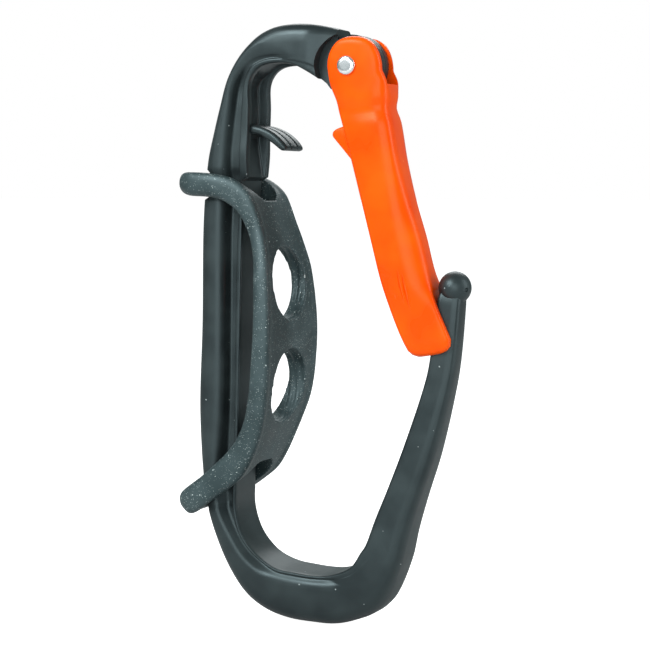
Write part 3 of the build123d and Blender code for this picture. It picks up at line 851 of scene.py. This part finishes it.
def build_keeper():
    rows = [[*row[0], *row[1], row[2]] for row in KEEPER_ROWS]
    keeper = swept_shell("keeper_strap", [keeper_section(row) for row in smooth_rows(rows, ROW_STEP)])
    for name, low, high in KEEPER_SLOTS:
        slot = rounded_block(name, low, high, SLOT_BACK_RADIUS, SLOT_FRONT_RADIUS)
        combined(keeper, slot, "DIFFERENCE")
    profile = [(HOLE_FRONT, 0.0), (HOLE_FRONT, HOLE_RADIUS + HOLE_FLARE), (0.0, HOLE_RADIUS + HOLE_FREE)]
    for lip in LIPS:
        profile += [
            (lip - LIP_FOOT, HOLE_RADIUS + LIP_HEIGHT), (lip - LIP_HALF, HOLE_RADIUS),
            (lip + LIP_HALF, HOLE_RADIUS), (lip + LIP_FOOT, HOLE_RADIUS + LIP_HEIGHT),
        ]
    profile += [(HOLE_STRAIGHT, HOLE_RADIUS), (HOLE_BACK, HOLE_RADIUS + HOLE_FREE), (HOLE_BACK, 0.0)]
    for front, height in KEEPER_HOLES:
        hole = turned_shell("hole", profile, point(front, height), -X_WAY, Z_WAY, steps=96)
        combined(keeper, hole, "DIFFERENCE")
    skin = keeper.modifiers.new("skin", "REMESH")
    skin.mode = "VOXEL"
    skin.voxel_size = VOXEL
    ease = keeper.modifiers.new("ease", "SMOOTH")
    ease.factor = 0.5
    ease.iterations = 8
    baked(keeper)
    finish_piece(keeper, "hook", "rubber_keeper", KEEPER_RUBBER, crease=0)


# ---------------------------------------------------------------- build
build_body()
build_gate()
build_rivet()
build_spring()
build_keeper()
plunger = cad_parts["spring_plunger"]
plunger.data.materials.clear()
plunger.data.materials.append(SPRING_STEEL)


# ---------------------------------------------------------------- floor, light and camera
FLOOR_SIZE = 20.0
FLOOR_DROP = 0.0005


def pale_material(name, colour):
    """A dull material that glows white to the camera only."""
    material = bpy.data.materials.new(name)
    material.use_nodes = True
    shader = material.node_tree.nodes["Principled BSDF"]
    shader.inputs["Base Color"].default_value = (*colour, 1.0)
    shader.inputs["Roughness"].default_value = 0.9
    shader.inputs["Emission Color"].default_value = (1.0, 1.0, 1.0, 1.0)
    rays = material.node_tree.nodes.new("ShaderNodeLightPath")
    material.node_tree.links.new(rays.outputs["Is Camera Ray"], shader.inputs["Emission Strength"])
    return material


def build_floor():
    bm = bmesh.new()
    bmesh.ops.create_grid(bm, x_segments=2, y_segments=2, size=FLOOR_SIZE)
    bmesh.ops.translate(bm, vec=(0, 0, cad_box[0][2] - FLOOR_DROP), verts=bm.verts)
    floor = shape_from("studio_floor", bm)
    floor.data.materials.append(pale_material("pale_floor", (0.6, 0.6, 0.6)))


def area_light(name, place, target, size, power):
    data = bpy.data.lights.new(name, "AREA")
    data.shape = "RECTANGLE"
    data.size, data.size_y = size
    data.energy = power
    light = bpy.data.objects.new(name, data)
    bpy.context.collection.objects.link(light)
    aim = Vector(target) - Vector(place)
    light.matrix_world = Matrix.Translation(place) @ aim.to_track_quat("-Z", "Y").to_matrix().to_4x4()


def build_world():
    """White to the eye, but a dimmer grey as a source of light, so that black plastic stays black."""
    world = bpy.data.worlds.new("studio_white")
    bpy.context.scene.world = world
    world.use_nodes = True
    tree = world.node_tree
    tree.nodes.clear()
    seen = tree.nodes.new("ShaderNodeBackground")
    seen.inputs["Strength"].default_value = 1.0
    seen.inputs["Color"].default_value = (1.0, 1.0, 1.0, 1.0)
    lit = tree.nodes.new("ShaderNodeBackground")
    lit.inputs["Strength"].default_value = 0.3
    lit.inputs["Color"].default_value = (0.82, 1.0, 1.0, 1.0)
    rays = tree.nodes.new("ShaderNodeLightPath")
    pick = tree.nodes.new("ShaderNodeMixShader")
    result = tree.nodes.new("ShaderNodeOutputWorld")
    tree.links.new(rays.outputs["Is Camera Ray"], pick.inputs["Fac"])
    tree.links.new(lit.outputs["Background"], pick.inputs[1])
    tree.links.new(seen.outputs["Background"], pick.inputs[2])
    tree.links.new(pick.outputs["Shader"], result.inputs["Surface"])


def build_camera():
    """A level long-lens view from the front and a little to the gate's side."""
    target = Vector((0.019, 0.0, 0.0))
    azimuth = math.radians(24)
    elevation = math.radians(4)
    distance = 0.43
    level = math.cos(elevation)
    away = Vector((math.sin(azimuth) * level, -math.cos(azimuth) * level, math.sin(elevation)))
    data = bpy.data.cameras.new("view")
    data.lens = 105.7
    data.sensor_width = 36.0
    data.clip_start = 0.01
    camera = bpy.data.objects.new("view", data)
    bpy.context.collection.objects.link(camera)
    camera.matrix_world = (
        Matrix.Translation(target + away * distance) @ (-away).to_track_quat("-Z", "Y").to_matrix().to_4x4()
    )
    bpy.context.scene.camera = camera


build_floor()
build_world()
build_camera()
area_light("key", (-0.25, -0.6, 0.45), (0.01, 0, 0), (0.35, 0.35), 6.0)
area_light("right_strip", (0.55, 0.12, 0.15), (0.02, 0, 0), (0.12, 0.6), 1.6)
area_light("front_fill", (0.25, -0.75, 0.1), (0.02, 0, 0), (0.5, 0.5), 3.0)
area_light("back", (-0.1, 0.5, 0.4), (0.02, 0, 0), (0.4, 0.3), 1.4)

bpy.context.scene.view_settings.view_transform = "Standard"
